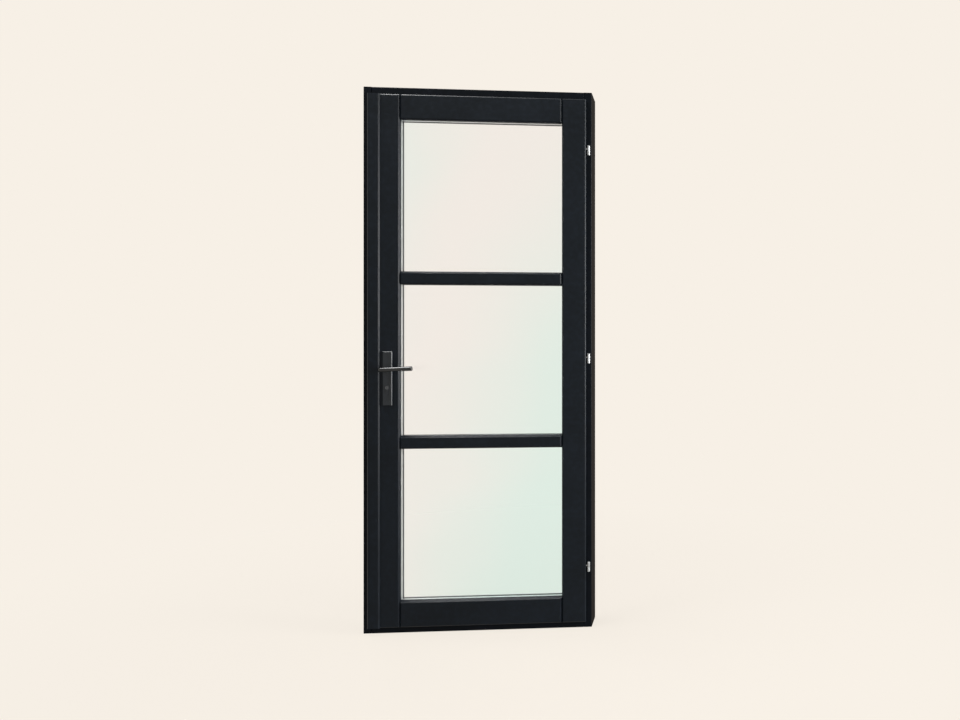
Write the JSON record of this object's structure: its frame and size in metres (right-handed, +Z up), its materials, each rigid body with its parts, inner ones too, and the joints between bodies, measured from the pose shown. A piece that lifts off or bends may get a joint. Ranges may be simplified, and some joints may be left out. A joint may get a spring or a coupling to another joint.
{
  "type": "glazed door with frame",
  "caption": "Black glazed outward-opening door in its own frame, with glazing bars, a lever handle on a long plate and barrel hinges.",
  "frame": {"origin": "on the floor under the threshold, midway between the jambs and midway through the frame's depth", "axes": "+Z up, +X towards the hinge side, -Y to the outside, the way the leaf opens"},
  "size_m": [0.86, 0.1927, 2.09],
  "materials": {
    "painted_timber": "satin black paint on planed timber",
    "clear_glass": "clear float glass with a faint green tint",
    "spacer_aluminium": "satin",
    "seal_rubber": "matt black",
    "black_fitting": "satin black coating",
    "lock_steel": "zinc plated",
    "plug_brass": "nickel plated",
    "hinge_steel": "satin nickel plating",
    "block_plastic": "moulded"
  },
  "bodies": {
    "frame": {"lock_jamb": "painted_timber", "hinge_jamb": "painted_timber", "frame_head": "painted_timber", "threshold": "painted_timber", "frame_seal": "seal_rubber", "strike_plate": "lock_steel", "cam_keeps": "lock_steel", "strike_screws": "lock_steel", "hinge_pins": "hinge_steel", "lower_knuckle_bottom": "hinge_steel", "lower_knuckle_middle": "hinge_steel", "lower_knuckle_top": "hinge_steel"},
    "leaf": {"lock_stile": "painted_timber", "hinge_stile": "painted_timber", "top_rail": "painted_timber", "bottom_rail": "painted_timber", "upper_bar": "painted_timber", "lower_bar": "painted_timber", "cover_strip": "painted_timber", "outer_glass_lower": "clear_glass", "outer_glass_middle": "clear_glass", "outer_glass_upper": "clear_glass", "inner_glass_lower": "clear_glass", "inner_glass_middle": "clear_glass", "inner_glass_upper": "clear_glass", "spacer_lower": "spacer_aluminium", "spacer_middle": "spacer_aluminium", "spacer_upper": "spacer_aluminium", "glazing_seal_lower": "seal_rubber", "glazing_seal_middle": "seal_rubber", "glazing_seal_upper": "seal_rubber", "cross_beads_lower": "painted_timber", "cross_beads_middle": "painted_timber", "cross_beads_upper": "painted_timber", "upright_beads_lower": "painted_timber", "upright_beads_middle": "painted_timber", "upright_beads_upper": "painted_timber", "setting_blocks": "block_plastic", "lock_case": "lock_steel", "edge_plate": "lock_steel", "edge_screws": "lock_steel", "outer_plate": "black_fitting", "inner_plate": "black_fitting", "plate_screws": "black_fitting", "lock_cylinder": "black_fitting", "upper_knuckle_bottom": "hinge_steel", "upper_knuckle_middle": "hinge_steel", "upper_knuckle_top": "hinge_steel"},
    "drive_bar": {"drive_bar": "lock_steel", "gear_slide": "lock_steel", "roller_cams": "lock_steel"},
    "lever": {"outer_lever": "black_fitting", "inner_lever": "black_fitting", "spindle": "lock_steel", "drive_gear": "lock_steel"},
    "turn": {"cylinder_plug": "plug_brass", "cylinder_cam": "lock_steel", "thumb_turn": "black_fitting"},
    "dead_bolt": {"dead_bolt": "lock_steel"}
  },
  "joints": [
    {"name": "leaf_swing", "type": "hinge", "parent": "frame", "child": "leaf", "pos_m": [0.419, -0.065, 1.05], "axis": [0, 0, 1], "range_deg": [0, 110]},
    {"name": "lever_turn", "type": "hinge", "parent": "leaf", "child": "lever", "pos_m": [-0.334, -0.038, 1.01], "axis": [0, 1, 0], "range_deg": [0, 90]},
    {"name": "bar_slide", "type": "slide", "parent": "leaf", "child": "drive_bar", "axis": [0, 0, 1], "range_m": [0, 0.01807]},
    {"name": "key_turn", "type": "hinge", "parent": "leaf", "child": "turn", "pos_m": [-0.334, -0.038, 0.94], "axis": [0, -1, 0], "range_deg": [0, 90]},
    {"name": "bolt_slide", "type": "slide", "parent": "leaf", "child": "dead_bolt", "axis": [-1, 0, 0], "range_m": [0, 0.02]}
  ],
  "couplings": [
    {"joint": "bar_slide", "follows": "lever_turn", "m_per_rad": 0.0115},
    {"joint": "key_turn", "follows": "bolt_slide", "rad_per_m": 78.54}
  ]
}
